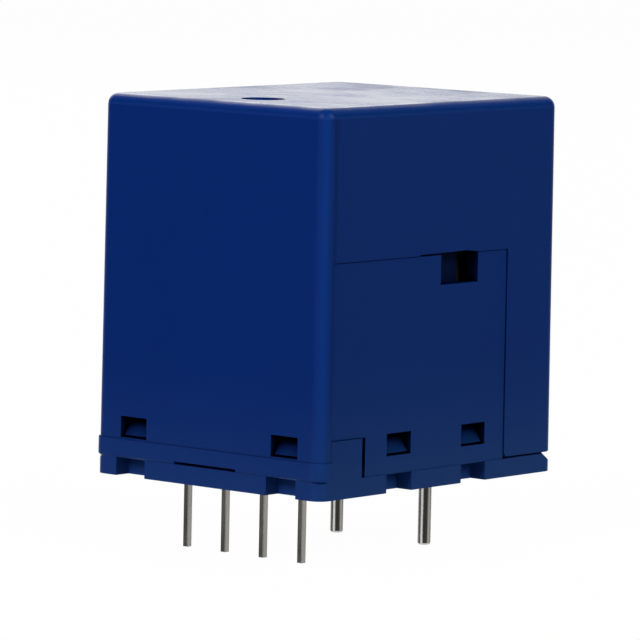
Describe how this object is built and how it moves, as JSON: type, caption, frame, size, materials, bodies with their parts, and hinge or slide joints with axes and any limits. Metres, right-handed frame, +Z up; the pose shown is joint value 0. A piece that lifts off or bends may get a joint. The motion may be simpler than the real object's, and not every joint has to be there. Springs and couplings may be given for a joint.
{
  "type": "hall effect current sensor",
  "caption": "Upright blue box-shaped sensor for a circuit board: a cap snapped on a base plate over a gapped core, with round primary wires and square signal pins below.",
  "frame": {"origin": "centre of the base plate's underside, which is the seating plane on the board", "axes": "+Z up out of the board; the front wall faces -Y with the row of signal pins behind it; the right wall with the side panel faces +X"},
  "size_m": [0.0226, 0.0278, 0.0346],
  "materials": {
    "housing_blue": "satin moulded plastic with a fine grain",
    "former_blue": "moulded plastic",
    "core_black": "black varnished laminations",
    "copper_wire": "enamelled copper wire, bare and tinned at the ends",
    "board_green": "solder resist",
    "package_black": "moulded package",
    "capacitor_tan": "ceramic",
    "resistor_black": "glazed ceramic",
    "tinned_pin": "tinned",
    "solder": "solder"
  },
  "bodies": {
    "root": {"cap": "housing_blue", "side_panel": "housing_blue", "base_plate": "housing_blue", "coil_former": "former_blue", "core_left": "core_black", "core_right": "core_black", "primary_winding": "copper_wire", "circuit_board": "board_green", "hall_element": "package_black", "amplifier_ic": "package_black", "voltage_reference": "package_black", "solder_joints": "solder", "secondary_pin_1": "tinned_pin", "secondary_pin_2": "tinned_pin", "secondary_pin_3": "tinned_pin", "secondary_pin_4": "tinned_pin", "capacitor_1": "capacitor_tan", "capacitor_2": "capacitor_tan", "capacitor_3": "capacitor_tan", "resistor_1": "resistor_black", "resistor_2": "resistor_black", "resistor_3": "resistor_black", "resistor_4": "resistor_black", "resistor_5": "resistor_black", "resistor_6": "resistor_black"}
  },
  "joints": []
}
